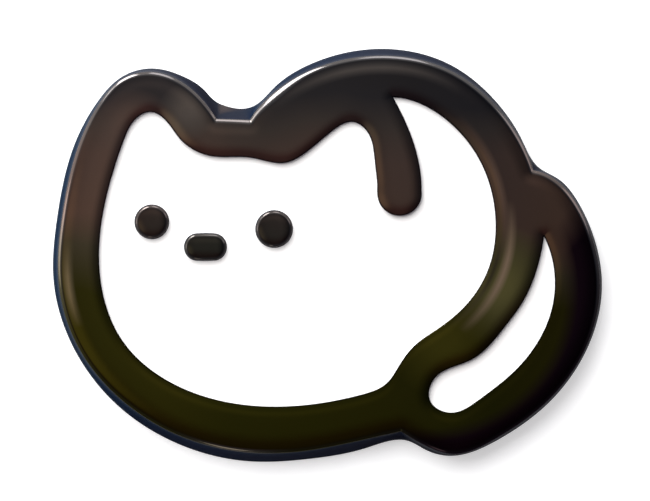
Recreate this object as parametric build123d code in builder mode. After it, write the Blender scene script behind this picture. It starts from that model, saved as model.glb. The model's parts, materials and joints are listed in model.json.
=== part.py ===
from build123d import *
import os
from math import cos, radians, sin

# A cat-shaped enamel pin, as worn: the face looks along -Y, +X is to its right and +Z is up.
# The origin is on the flat back face, midway between the two posts. Millimetres throughout.

os.makedirs("parts", exist_ok=True)

# ---- plate and enamel -------------------------------------------------------------------------
PLATE_THICKNESS = 1.6
ENAMEL_RECESS = 0.3
ENAMEL_DEPTH = 0.5
ISLAND_EDGE_RADIUS = 0.28

LEFT_EYE = (-9.57, 1.81)
LEFT_EYE_RADIUS = 0.95
RIGHT_EYE = (-2.91, 1.42)
RIGHT_EYE_RADIUS = 1.03
NOSE = (-6.65, 0.44)
NOSE_SIZE = (2.34, 1.5)
NOSE_CORNER_RADIUS = 0.73

# The front rim and the wider foot of the side wall, clockwise seen from the front, as matching
# points. The wall leans outward from rim to foot. Both start at the notch between the ears and
# the back, and the corners of the rim are softened away at the foot.
RIM = [
    (-6.04, 7.43),
    (-4.24, 7.37),
    (-2.80, 8.98),
    (-0.95, 10.07),
    (2.97, 10.87),
    (6.67, 10.07),
    (9.12, 8.19),
    (10.51, 6.26),
    (11.22, 4.63),
    (12.44, 4.09),
    (13.65, 2.68),
    (14.45, 0.88),
    (14.86, -1.63),
    (14.27, -4.60),
    (12.11, -7.84),
    (9.20, -9.99),
    (6.75, -10.84),
    (5.40, -10.42),
    (4.00, -9.62),
    (2.10, -10.04),
    (-1.09, -10.66),
    (-4.29, -10.77),
    (-8.43, -9.69),
    (-11.21, -7.91),
    (-13.43, -5.29),
    (-14.67, -1.36),
    (-14.49, 1.91),
    (-13.46, 6.26),
    (-12.33, 8.44),
    (-11.30, 9.53),
    (-9.66, 9.99),
    (-8.03, 9.49),
    (-7.05, 8.72),
]
FOOT = [
    (-5.87, 8.26),
    (-4.25, 8.06),
    (-2.93, 9.14),
    (-1.08, 10.37),
    (2.95, 11.27),
    (6.81, 10.35),
    (9.28, 8.31),
    (10.62, 6.31),
    (11.40, 4.92),
    (12.54, 4.21),
    (13.77, 2.76),
    (14.58, 0.91),
    (15.00, -1.63),
    (14.39, -4.66),
    (12.22, -7.95),
    (9.27, -10.13),
    (6.75, -10.98),
    (5.38, -10.66),
    (4.06, -10.10),
    (2.15, -10.54),
    (-1.05, -11.15),
    (-4.35, -11.27),
    (-8.61, -10.12),
    (-11.47, -8.22),
    (-13.69, -5.42),
    (-14.97, -1.42),
    (-14.79, 1.96),
    (-13.71, 6.34),
    (-12.46, 8.53),
    (-11.39, 9.64),
    (-9.66, 10.20),
    (-7.88, 9.76),
    (-6.80, 9.08),
]
# Places in both lists where the rim has a corner: each end of the notch's floor, the top of the
# tail, and the underside between the tail and the body.
CORNERS = [0, 1, 8, 18]

# Window of the body's enamel, clockwise from the sharp point beside the bar on the back.
BODY_WINDOW = [
    (3.57, 8.60),
    (4.49, 8.44),
    (6.48, 7.35),
    (8.28, 5.17),
    (9.13, 2.20),
    (8.73, -0.82),
    (7.28, -2.99),
    (5.85, -4.12),
    (4.72, -4.95),
    (3.80, -6.18),
    (3.25, -6.95),
    (1.77, -7.62),
    (-3.13, -8.25),
    (-7.67, -7.35),
    (-11.19, -4.63),
    (-12.43, -0.60),
    (-11.95, 3.54),
    (-11.09, 6.26),
    (-10.50, 7.35),
    (-9.66, 7.79),
    (-8.84, 7.35),
    (-7.99, 6.26),
    (-6.40, 5.40),
    (-4.20, 5.30),
    (-2.31, 5.02),
    (-0.99, 5.72),
    (0.34, 6.81),
    (1.35, 7.25),
    (2.09, 6.81),
    (2.56, 5.17),
    (2.69, 4.00),
    (2.74, 3.10),
]
BAR_TIP = (3.93, 2.14)
BAR_RIGHT_SIDE = [
    (5.11, 3.10),
    (4.95, 5.17),
    (4.44, 6.81),
    (3.57, 8.60),
]

# Window of the tail's enamel, clockwise from its sharp top.
TAIL_WINDOW = [
    (11.79, 1.03),
    (12.34, -0.82),
    (12.31, -2.45),
    (11.80, -4.08),
    (10.24, -6.26),
    (8.21, -7.90),
    (6.67, -8.58),
    (5.60, -7.95),
    (5.77, -6.81),
    (7.81, -5.72),
    (9.53, -4.08),
    (10.70, -2.45),
    (11.39, -0.82),
    (11.79, 1.03),
]

# ---- posts ------------------------------------------------------------------------------------
POST_SPACING = 14.0
POST_RADIUS = 0.55
POST_REACH = 8.2
POST_TIP_RADIUS = 0.1
POST_TAPER_LENGTH = 0.9
PAD_RADIUS = 2.0
PAD_THICKNESS = 0.5
PAD_EDGE = 0.12
SPOTFACE_RADIUS = 2.2
SPOTFACE_DEPTH = 0.2
GROOVE_RADIUS = 0.45
GROOVE_FLANK = 0.1
# Where each groove starts and ends along the post: a long one where the clutch sits on a thin
# cloth, and a short one near the tip for a thick one.
GROOVES = [(2.55, 4.05), (6.0, 6.7)]

# ---- butterfly clutches, two alike ------------------------------------------------------------
# Heights are above the plate's back face. u is the way the wings point, v is across them.
CLUTCH_FRONT = 2.5
SHEET = 0.25
DISC_SHEET = 0.35
DISC_RADIUS = 5.5
DISC_EDGE_RADIUS = 0.2
DISC_HOLE_RADIUS = 0.8
CRIMP_INNER_RADIUS = 4.7
CRIMP_HEIGHT = 0.83
CRIMP_WALL = 0.45
DIMPLE_COUNT = 8
DIMPLE_CIRCLE_RADIUS = 3.8
DIMPLE_RADIUS = 0.55
DIMPLE_TIP_RADIUS = 0.28
DIMPLE_HEIGHT = 0.3

FLANGE_RADIUS = 5.0
TURRET_RADIUS = 3.2
TURRET_WALL = 0.3
TURRET_TOP = 5.5
TURRET_SHOULDER = 0.9
TURRET_HOLE_RADIUS = 0.9
SLOT_HALF_WIDTH = 2.0
SLOT_TOP = 4.05
SLOT_CORNER = 0.3

# The jaw nearer to the plate and the one farther from it, by the middle of their sheet.
NEAR_JAW_HEIGHT = 3.295
FAR_JAW_HEIGHT = 3.615
WING_TRAVEL = 0.7
JAW_HEAD_RADIUS = 2.8
JAW_HEAD_HALF_WIDTH = 1.2
JAW_ROOT_HALF_WIDTH = 1.75
JAW_ROOT_START = 1.0
JAW_HOLE_RADIUS = 0.65
JAW_HOLE_NEAR = 0.07
JAW_HOLE_FAR = 0.8
WING_BEND_START = 3.7
WING_BEND_RADIUS = 0.8
WING_BEND_ANGLE = 80
WING_RISE = 0.9
WING_CURL_RADIUS = 1.0
WING_CURL_ANGLE = 50
WING_LIP = 0.4
WING_HALF_WIDTH = 3.2
WING_FLARE_BOTTOM = 3.45
WING_FLARE_TOP = 4.35
WING_TOP = 6.4
WING_CORNER = 1.7
LUG_START = 1.95
LUG_INNER_EDGE = 1.3
LUG_TOP = 4.45

SPRING_WIRE_RADIUS = 0.25
SPRING_RADIUS = 2.07
SPRING_HEIGHT = 4.02
SPRING_GAP = 60

# Each clutch's name, its side of the origin, and how far it is turned on its post.
CLUTCHES = [("left", -1, 8.0), ("right", 1, -14.0)]

enamel_height = PLATE_THICKNESS - ENAMEL_RECESS
recess_height = enamel_height - ENAMEL_DEPTH


# ---- outlines of the plate --------------------------------------------------------------------
def wall_outline(points, rounded):
    """The plate's closed outline, in stretches between its corners."""
    closed = points + points[:1]
    for start, end in zip(CORNERS, CORNERS[1:] + [len(points)]):
        run = [Vector(*p) for p in closed[start : end + 1]]
        if rounded:
            directions = [corner_direction(points, start), corner_direction(points, end)]
            Spline(*run, tangents=directions, tangent_scalars=[1, 1])
        elif len(run) == 2:
            Line(*run)
        else:
            Spline(*run)


def corner_direction(points, place):
    """Direction of the smooth foot line where it passes one of the rim's corners."""
    count = len(points)
    before = Vector(*points[(place - 1) % count])
    after = Vector(*points[(place + 1) % count])
    return (after - before).normalized()


def body_window():
    Spline(*BODY_WINDOW)
    ThreePointArc(BODY_WINDOW[-1], BAR_TIP, BAR_RIGHT_SIDE[0])
    Spline(*BAR_RIGHT_SIDE)


def tail_window():
    Spline(*TAIL_WINDOW)


def face_islands(mode=Mode.ADD):
    """Both eyes and the nose, in the open sketch."""
    with Locations(LEFT_EYE):
        Circle(LEFT_EYE_RADIUS, mode=mode)
    with Locations(RIGHT_EYE):
        Circle(RIGHT_EYE_RADIUS, mode=mode)
    with Locations(NOSE):
        RectangleRounded(*NOSE_SIZE, NOSE_CORNER_RADIUS, mode=mode)


# ---- badge ------------------------------------------------------------------------------------
# A leaning wall between two outlines, two sunk windows, and three islands that stand up in the
# larger one. Shallow spotfaces in the back take the posts' soldering pads.
with BuildPart() as base_plate:
    with BuildSketch(Plane.XZ):
        with BuildLine():
            wall_outline(FOOT, rounded=True)
        make_face()
    with BuildSketch(Plane.XZ.offset(PLATE_THICKNESS)):
        with BuildLine():
            wall_outline(RIM, rounded=False)
        make_face()
    loft(ruled=True)
    with BuildSketch(Plane.XZ.offset(recess_height)):
        with BuildLine():
            body_window()
        make_face()
        with BuildLine():
            tail_window()
        make_face()
        face_islands(mode=Mode.SUBTRACT)
    extrude(amount=PLATE_THICKNESS, mode=Mode.SUBTRACT)
    with BuildSketch(Plane.XZ):
        with GridLocations(POST_SPACING, 1, 2, 1):
            Circle(SPOTFACE_RADIUS)
    extrude(amount=SPOTFACE_DEPTH, mode=Mode.SUBTRACT)
    front_faces = base_plate.faces().filter_by(Axis.Y).group_by(Axis.Y)[0]
    islands = front_faces.sort_by(SortBy.AREA)[:3]
    fillet(islands.edges(), ISLAND_EDGE_RADIUS)

base_plate.part.label = "base_plate"
export_step(base_plate.part, "parts/base_plate.step")

# Each fill lies on the floor of its window and stops short of the ridge's top.
with BuildPart() as body_enamel:
    with BuildSketch(Plane.XZ.offset(recess_height)):
        with BuildLine():
            body_window()
        make_face()
        face_islands(mode=Mode.SUBTRACT)
    extrude(amount=ENAMEL_DEPTH)

body_enamel.part.label = "body_enamel"
export_step(body_enamel.part, "parts/body_enamel.step")

with BuildPart() as tail_enamel:
    with BuildSketch(Plane.XZ.offset(recess_height)):
        with BuildLine():
            tail_window()
        make_face()
    extrude(amount=ENAMEL_DEPTH)

tail_enamel.part.label = "tail_enamel"
export_step(tail_enamel.part, "parts/tail_enamel.step")


# ---- posts ------------------------------------------------------------------------------------
def post_plane(side):
    """Sketch plane through a post's axis: x is the distance from the axis, y the height."""
    return Plane(origin=(side * POST_SPACING / 2, 0, 0), x_dir=(1, 0, 0), z_dir=(0, 0, 1))


def post_axis(side):
    return Axis((side * POST_SPACING / 2, 0, 0), (0, 1, 0))


def post_profile():
    """Half section of the post: pad, grooved shank and point."""
    pad_back = PAD_THICKNESS - SPOTFACE_DEPTH
    points = [
        (0, -SPOTFACE_DEPTH),
        (PAD_RADIUS, -SPOTFACE_DEPTH),
        (PAD_RADIUS, pad_back - PAD_EDGE),
        (PAD_RADIUS - PAD_EDGE, pad_back),
        (POST_RADIUS, pad_back),
    ]
    for start, end in GROOVES:
        points.append((POST_RADIUS, start))
        points.append((GROOVE_RADIUS, start + GROOVE_FLANK))
        points.append((GROOVE_RADIUS, end - GROOVE_FLANK))
        points.append((POST_RADIUS, end))
    points.append((POST_RADIUS, POST_REACH - POST_TAPER_LENGTH))
    points.append((POST_TIP_RADIUS, POST_REACH))
    points.append((0, POST_REACH))
    Polyline(*points, close=True)


for name, side, _ in CLUTCHES:
    with BuildPart() as post:
        with BuildSketch(post_plane(side)):
            with BuildLine():
                post_profile()
            make_face()
        revolve(axis=post_axis(side))
    post.part.label = f"post_{name}"
    export_step(post.part, f"parts/post_{name}.step")


# ---- clutches ---------------------------------------------------------------------------------
def clutch_plane(side, turn):
    """Plane on the back face at a post: x is u, and z points away from the plate."""
    along = (cos(radians(turn)), 0, sin(radians(turn)))
    return Plane(origin=(side * POST_SPACING / 2, 0, 0), x_dir=along, z_dir=(0, 1, 0))


def disc_profile():
    """Half section of the base disc, with its edge crimped over the cap's flange."""
    top = CLUTCH_FRONT + CRIMP_HEIGHT
    inner_wall = DISC_RADIUS - CRIMP_WALL
    floor = CLUTCH_FRONT + DISC_SHEET
    fold = floor + SHEET
    rounded = DISC_EDGE_RADIUS
    Line((DISC_RADIUS, top - rounded), (DISC_RADIUS, CLUTCH_FRONT + rounded))
    RadiusArc(
        (DISC_RADIUS, CLUTCH_FRONT + rounded),
        (DISC_RADIUS - rounded, CLUTCH_FRONT),
        rounded,
    )
    Polyline(
        (DISC_RADIUS - rounded, CLUTCH_FRONT),
        (DISC_HOLE_RADIUS, CLUTCH_FRONT),
        (DISC_HOLE_RADIUS, floor),
        (inner_wall, floor),
        (inner_wall, fold),
        (CRIMP_INNER_RADIUS, fold),
        (CRIMP_INNER_RADIUS, top),
        (DISC_RADIUS - rounded, top),
    )
    RadiusArc((DISC_RADIUS - rounded, top), (DISC_RADIUS, top - rounded), rounded)


def cap_profile():
    """Half section of the cap: a flange under the crimp, and a turret with a holed top."""
    base = CLUTCH_FRONT + DISC_SHEET
    inner = TURRET_RADIUS - TURRET_WALL
    inner_top = TURRET_TOP - TURRET_WALL
    inner_shoulder = TURRET_SHOULDER - TURRET_WALL
    Polyline(
        (inner, base),
        (FLANGE_RADIUS, base),
        (FLANGE_RADIUS, base + SHEET),
        (TURRET_RADIUS, base + SHEET),
        (TURRET_RADIUS, TURRET_TOP - TURRET_SHOULDER),
    )
    shoulder_centre = (TURRET_RADIUS - TURRET_SHOULDER, TURRET_TOP - TURRET_SHOULDER)
    CenterArc(shoulder_centre, TURRET_SHOULDER, 0, 90)
    Polyline(
        (TURRET_RADIUS - TURRET_SHOULDER, TURRET_TOP),
        (TURRET_HOLE_RADIUS, TURRET_TOP),
        (TURRET_HOLE_RADIUS, inner_top),
        (inner - inner_shoulder, inner_top),
    )
    CenterArc(shoulder_centre, inner_shoulder, 0, 90)
    Line((inner, inner_top - inner_shoulder), (inner, base))


def wing_strip(jaw_height):
    """Middle line of a wing's bent sheet, from the jaw's free end to the finger lip."""
    start = (-JAW_HEAD_RADIUS, jaw_height)
    rise = WING_RISE + (FAR_JAW_HEIGHT - jaw_height) / sin(radians(WING_BEND_ANGLE))
    jaw = Line(start, (WING_BEND_START, jaw_height))
    bend = JernArc(jaw @ 1, jaw % 1, WING_BEND_RADIUS, WING_BEND_ANGLE)
    stem = PolarLine(bend @ 1, rise, direction=bend % 1)
    curl = JernArc(stem @ 1, stem % 1, WING_CURL_RADIUS, -WING_CURL_ANGLE)
    PolarLine(curl @ 1, WING_LIP, direction=curl % 1)


def jaw_plan():
    """The wing seen along the post: a narrow round-ended jaw that widens into the wing."""
    reach = 2 * DISC_RADIUS
    with Locations((WING_TRAVEL, 0)):
        Circle(JAW_HEAD_RADIUS)
    with Locations((JAW_ROOT_START, 0)):
        Rectangle(2 * reach, 2 * JAW_HEAD_HALF_WIDTH, mode=Mode.INTERSECT)
    with Locations((JAW_ROOT_START + reach / 2, 0)):
        Rectangle(reach, 2 * JAW_ROOT_HALF_WIDTH)
    with Locations((WING_BEND_START + reach / 2, 0)):
        Rectangle(reach, 2 * WING_HALF_WIDTH)
    with Locations(((JAW_HOLE_NEAR + JAW_HOLE_FAR) / 2, 0)):
        SlotCenterToCenter(JAW_HOLE_FAR - JAW_HOLE_NEAR, 2 * JAW_HOLE_RADIUS, mode=Mode.SUBTRACT)


def wing_elevation():
    """The wing seen along u: narrow through the slot, then flared."""
    half_outline = [
        (JAW_ROOT_HALF_WIDTH, 0),
        (JAW_ROOT_HALF_WIDTH, WING_FLARE_BOTTOM),
        (WING_HALF_WIDTH, WING_FLARE_TOP),
        (WING_HALF_WIDTH, WING_TOP),
    ]
    mirrored = [(-v, height) for v, height in reversed(half_outline)]
    Polyline(*half_outline, *mirrored, close=True)


def wing(side, turn, jaw_height):
    """One finger wing with its jaw plate and the two lugs that the spring pushes on."""
    plane = clutch_plane(side, turn)
    with BuildPart() as piece:
        with BuildSketch(section_plane(plane)):
            with BuildLine():
                wing_strip(jaw_height)
            trace(line_width=SHEET)
        extrude(amount=WING_HALF_WIDTH, both=True)
        with BuildSketch(across_plane(plane)):
            with BuildLine():
                wing_elevation()
            make_face()
            fillet(vertices().group_by(Axis.Y)[-1], WING_CORNER)
        extrude(amount=2 * DISC_RADIUS, both=True, mode=Mode.INTERSECT)
        with BuildSketch(plane):
            jaw_plan()
        extrude(amount=2 * WING_TOP, mode=Mode.INTERSECT)
        lug_width = JAW_ROOT_HALF_WIDTH - LUG_INNER_EDGE
        with BuildSketch(plane.offset(jaw_height)):
            with Locations((LUG_START + SHEET / 2, 0)):
                with GridLocations(1, JAW_ROOT_HALF_WIDTH + LUG_INNER_EDGE, 1, 2):
                    Rectangle(SHEET, lug_width)
        extrude(amount=LUG_TOP - jaw_height)
    return piece.part


def section_plane(plane):
    """The clutch's sketch plane through its axis: x is u, y is the height."""
    return Plane(origin=plane.origin, x_dir=plane.x_dir, z_dir=-plane.y_dir)


def across_plane(plane):
    """The clutch's sketch plane square to u: x is v, y is the height."""
    return Plane(origin=plane.origin, x_dir=plane.y_dir, z_dir=plane.x_dir)


for name, side, turn in CLUTCHES:
    clutch = clutch_plane(side, turn)

    with BuildPart() as disc:
        with BuildSketch(section_plane(clutch)):
            with BuildLine():
                disc_profile()
            make_face()
        revolve(axis=post_axis(side))
        with Locations(clutch.offset(CLUTCH_FRONT)):
            with PolarLocations(DIMPLE_CIRCLE_RADIUS, DIMPLE_COUNT):
                Cone(
                    DIMPLE_TIP_RADIUS,
                    DIMPLE_RADIUS,
                    DIMPLE_HEIGHT,
                    align=(Align.CENTER, Align.CENTER, Align.MAX),
                )
    disc.part.label = f"clutch_disc_{name}"
    export_step(disc.part, f"parts/clutch_disc_{name}.step")

    with BuildPart() as cap:
        with BuildSketch(section_plane(clutch)):
            with BuildLine():
                cap_profile()
            make_face()
        revolve(axis=post_axis(side))
        slot_bottom = CLUTCH_FRONT + DISC_SHEET + SHEET
        with BuildSketch(across_plane(clutch)):
            with Locations((0, (slot_bottom + SLOT_TOP) / 2)):
                Rectangle(2 * SLOT_HALF_WIDTH, SLOT_TOP - slot_bottom)
            fillet(vertices().group_by(Axis.Y)[-1], SLOT_CORNER)
        extrude(amount=DISC_RADIUS, both=True, mode=Mode.SUBTRACT)
    cap.part.label = f"clutch_cap_{name}"
    export_step(cap.part, f"parts/clutch_cap_{name}.step")

    for jaw, jaw_turn, jaw_height in [("near", 180, NEAR_JAW_HEIGHT), ("far", 0, FAR_JAW_HEIGHT)]:
        wing_part = wing(side, turn + jaw_turn, jaw_height)
        wing_part.label = f"clutch_{jaw}_wing_{name}"
        export_step(wing_part, f"parts/clutch_{jaw}_wing_{name}.step")

    with BuildPart() as spring:
        with BuildSketch(section_plane(clutch_plane(side, turn + 90 - SPRING_GAP / 2))):
            with Locations((SPRING_RADIUS, SPRING_HEIGHT)):
                Circle(SPRING_WIRE_RADIUS)
        revolve(axis=post_axis(side), revolution_arc=360 - SPRING_GAP)
    spring.part.label = f"clutch_spring_{name}"
    export_step(spring.part, f"parts/clutch_spring_{name}.step")
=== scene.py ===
import json
import math

import bmesh
import bpy
import numpy as np
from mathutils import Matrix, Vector, kdtree
from mathutils.geometry import delaunay_2d_cdt


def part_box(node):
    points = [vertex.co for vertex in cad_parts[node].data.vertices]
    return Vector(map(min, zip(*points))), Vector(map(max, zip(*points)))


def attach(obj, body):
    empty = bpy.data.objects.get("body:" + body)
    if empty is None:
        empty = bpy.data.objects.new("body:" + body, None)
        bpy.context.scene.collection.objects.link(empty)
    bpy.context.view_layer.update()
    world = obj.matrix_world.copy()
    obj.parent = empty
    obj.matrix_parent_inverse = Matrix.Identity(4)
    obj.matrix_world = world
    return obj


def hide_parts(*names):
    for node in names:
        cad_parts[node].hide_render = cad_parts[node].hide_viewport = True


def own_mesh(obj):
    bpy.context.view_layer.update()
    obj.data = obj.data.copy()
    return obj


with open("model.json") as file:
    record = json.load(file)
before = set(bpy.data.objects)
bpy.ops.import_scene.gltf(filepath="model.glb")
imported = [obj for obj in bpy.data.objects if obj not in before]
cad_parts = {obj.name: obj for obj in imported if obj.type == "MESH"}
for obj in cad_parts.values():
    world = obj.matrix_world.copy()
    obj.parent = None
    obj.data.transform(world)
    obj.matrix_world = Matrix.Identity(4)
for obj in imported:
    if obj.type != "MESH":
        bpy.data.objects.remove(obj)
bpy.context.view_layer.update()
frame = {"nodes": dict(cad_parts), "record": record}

# Everything below is in millimetres until a mesh or a lamp is placed, in the row's frame: the
# face looks along -Y, +X is to its right and +Z is up.
MM = 0.001

# The face's depths, read from the CAD nodes.
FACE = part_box("base_plate")[0].y / MM
RECESS_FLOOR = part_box("body_enamel")[1].y / MM
ENAMEL_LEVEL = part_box("body_enamel")[0].y / MM
POST_PAD_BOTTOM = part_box("post_left")[0].y / MM

# How finely outlines and faces are divided, and how finely a curve is followed before that. How
# far a line turns at a corner, and how finely an edge fans out round it. Where edges are sharp.
# Points nearer than SAME_PLACE are one point, and those nearer than CROWDED are thinned.
OUTLINE_STEP = 0.09
GRID_STEP = 0.24
BACK_GRID_STEP = 0.8
ISLAND_GRID_STEP = 0.12
ENAMEL_GRID_STEP = 0.3
CURVE_STEP = 0.01
DISTANCE_STEP = 0.02
CORNER_TURN = math.radians(33)
FAN_STEP = math.radians(16)
SHARP_EDGE = math.radians(40)
SAME_PLACE = 1e-3
CROWDED = 0.05
NO_POINTS = np.empty((0, 2))

# Rows of points that follow the edges of the face and of the enamel: how far from the edge. The
# even grid begins a little beyond the last.
FACE_ROWS = [0.34, 0.42, 0.52, 0.64]
ENAMEL_ROWS = [0.03, 0.07, 0.12, 0.2, 0.3, 0.42]
ROW_TO_GRID = 0.1

# The struck edges. Each profile runs inward from an edge: how far in, and how far below the face.
RIM_PROFILE = [
    (0.0, 0.115), (0.006, 0.090), (0.018, 0.074), (0.048, 0.057), (0.084, 0.038),
    (0.120, 0.020), (0.155, 0.009), (0.195, 0.003), (0.24, 0.0),
]
# The rim is worn rounder on the slope up to the back: where, how far round it and how much more.
WORN_SLOPE = ((-2.9, 8.9), 1.5, 1.1)
WINDOW_EDGE_RADIUS = 0.07
ISLAND_EDGE_RADIUS = 0.22
FOOT_RADIUS = 0.06

# How far the face falls away at an edge, and over what width.
RIM_DOME = (0.10, 1.1)
WINDOW_DOME = (0.07, 0.9)
ISLAND_DOME = (0.06, 0.75)

# The rings down the outer wall: how far down each is, and over how many points it's smoothed, so
# that the rim's corners fade out before the foot. The wall leans out more quickly further down.
# Each point of the rim has a partner on the foot, found over as many neighbours to each side.
WALL_RINGS = [(0.12, 1), (0.28, 2), (0.48, 3), (0.72, 4)]
WALL_LEAN = 1.3
PARTNER_REACH = 7

# The enamel creeps up the metal round its edge, and its surface is a little uneven.
MENISCUS_HEIGHT = 0.07
MENISCUS_WIDTH = 0.13
ENAMEL_WAVE = 0.004

# The posts and the clutches' sheet: how far their edges are worn, what counts as an edge, and
# faces narrower than this are joined away.
EDGE_WEAR = 0.035
WORN_EDGE = math.radians(30)
FLAT_FACES = math.radians(0.5)
SLIVER = 0.001

# The springs: how finely the wire is divided along it, round it and over its rounded ends.
WIRE_STATIONS = 72
WIRE_SIDES = 18
WIRE_TIP_STEPS = 7


# ---------------------------------------------------------------- outlines read from the CAD

def level_outlines(node, depth, facing):
    """The closed outlines of a node's flat faces at one depth, as (loops round faces, holes).

    Facing is -1 for faces that look to the front and 1 for those that look to the back.
    """
    mesh = frame["nodes"][node].data
    follow = {}
    seen = set()
    for face in mesh.polygons:
        corners = [mesh.vertices[i].co / MM for i in face.vertices]
        off_level = any(abs(c.y - depth) > SAME_PLACE for c in corners)
        if off_level or face.normal.y * facing < 0.99:
            continue
        keys = [(round(c.x, 4), round(c.z, 4)) for c in corners]
        for start, end in zip(keys, keys[1:] + keys[:1]):
            if (end, start) in seen:
                seen.discard((end, start))
            else:
                seen.add((start, end))
    for start, end in seen:
        follow.setdefault(start, []).append(end)
    loops = []
    while follow:
        start = min(follow)
        loop, here = [], start
        while here in follow:
            loop.append(here)
            ahead = follow[here].pop()
            if not follow[here]:
                del follow[here]
            here = ahead
        loops.append(np.array(loop))
    loops = sorted(loops, key=lambda points: -abs(signed_area(points)))
    turn = math.copysign(1.0, signed_area(loops[0]))
    rounds = [anticlockwise(points) for points in loops if signed_area(points) * turn > 0]
    holes = [anticlockwise(points) for points in loops if signed_area(points) * turn < 0]
    return rounds, holes


def signed_area(points):
    """The area inside a closed line, positive if it runs anticlockwise."""
    ahead = np.roll(points, -1, axis=0)
    return 0.5 * float(np.sum(points[:, 0] * ahead[:, 1] - ahead[:, 0] * points[:, 1]))


def anticlockwise(points):
    return points if signed_area(points) > 0 else points[::-1]


def turns(points):
    """How far a closed line turns at each of its points: positive to the left."""
    before = points - np.roll(points, 1, axis=0)
    after = np.roll(points, -1, axis=0) - points
    cross = before[:, 0] * after[:, 1] - before[:, 1] * after[:, 0]
    return np.arctan2(cross, np.sum(before * after, axis=1))


def spline(points, closed):
    """A dense smooth line through the points of one stretch between corners."""
    count = len(points)
    if closed:
        points = np.vstack([points[-1], points, points[0], points[1]])
    else:
        points = np.vstack([2 * points[0] - points[1], points, 2 * points[-1] - points[-2]])
    gaps = np.linalg.norm(np.diff(points, axis=0), axis=1)
    line = []
    for i in range(1, count + (1 if closed else 0)):
        before, gap, after = gaps[i - 1], gaps[i], gaps[i + 1]
        p0, p1, p2, p3 = points[i - 1:i + 3]
        slope1 = ((p1 - p0) / before * gap + (p2 - p1) / gap * before) / (before + gap)
        slope2 = ((p2 - p1) / gap * after + (p3 - p2) / after * gap) / (gap + after)
        t = np.linspace(0.0, 1.0, max(2, int(gap / CURVE_STEP)), endpoint=False)[:, None]
        line.append(
            (2 * t**3 - 3 * t**2 + 1) * p1 + (t**3 - 2 * t**2 + t) * gap * slope1
            + (3 * t**2 - 2 * t**3) * p2 + (t**3 - t**2) * gap * slope2
        )
    line.append(points[1:2] if closed else points[-2:-1])
    return np.vstack(line)


def even(line, step):
    """A line divided evenly, without its last point."""
    along = np.r_[0.0, np.cumsum(np.linalg.norm(np.diff(line, axis=0), axis=1))]
    count = max(2, round(along[-1] / step))
    places = np.linspace(0.0, along[-1], count, endpoint=False)
    return np.c_[np.interp(places, along, line[:, 0]), np.interp(places, along, line[:, 1])]


def refined(points):
    """A closed outline divided evenly between its corners, which stay sharp."""
    gaps = np.linalg.norm(points - np.roll(points, 1, axis=0), axis=1)
    points = points[gaps > SAME_PLACE]
    corners = np.flatnonzero(np.abs(turns(points)) > CORNER_TURN)
    if not len(corners):
        return even(spline(points, True), OUTLINE_STEP)
    points = np.roll(points, -corners[0], axis=0)
    corners = np.r_[corners - corners[0], len(points)]
    closed = np.vstack([points, points[:1]])
    return np.vstack([
        even(spline(closed[a:b + 1], False), OUTLINE_STEP) for a, b in zip(corners, corners[1:])
    ])


def offsets(points, metal_inside):
    """The outline again with the direction from each point into the metal.

    Where the metal goes round the outside of a corner, the corner is repeated with its direction
    fanned out. Elsewhere a corner's direction is lengthened, so that the edge keeps its width.
    """
    ahead = np.roll(points, -1, axis=0) - points
    ahead /= np.linalg.norm(ahead, axis=1)[:, None]
    side = 1.0 if metal_inside else -1.0
    left = np.c_[-ahead[:, 1], ahead[:, 0]] * side
    bends = turns(points) * side
    places, ways = [], []
    for i, bend in enumerate(bends):
        before, after = left[i - 1], left[i]
        steps = 0 if bend > -CORNER_TURN else int(-bend / FAN_STEP)
        for k in range(steps + 1):
            share = 0.5 if steps == 0 else k / steps
            way = before * (1 - share) + after * share
            way /= np.linalg.norm(way)
            if steps == 0:
                way /= max(0.4, math.cos(bend / 2))
            places.append(points[i])
            ways.append(way)
    return np.array(places), np.array(ways)


# ---------------------------------------------------------------- meshes from outlines

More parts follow.
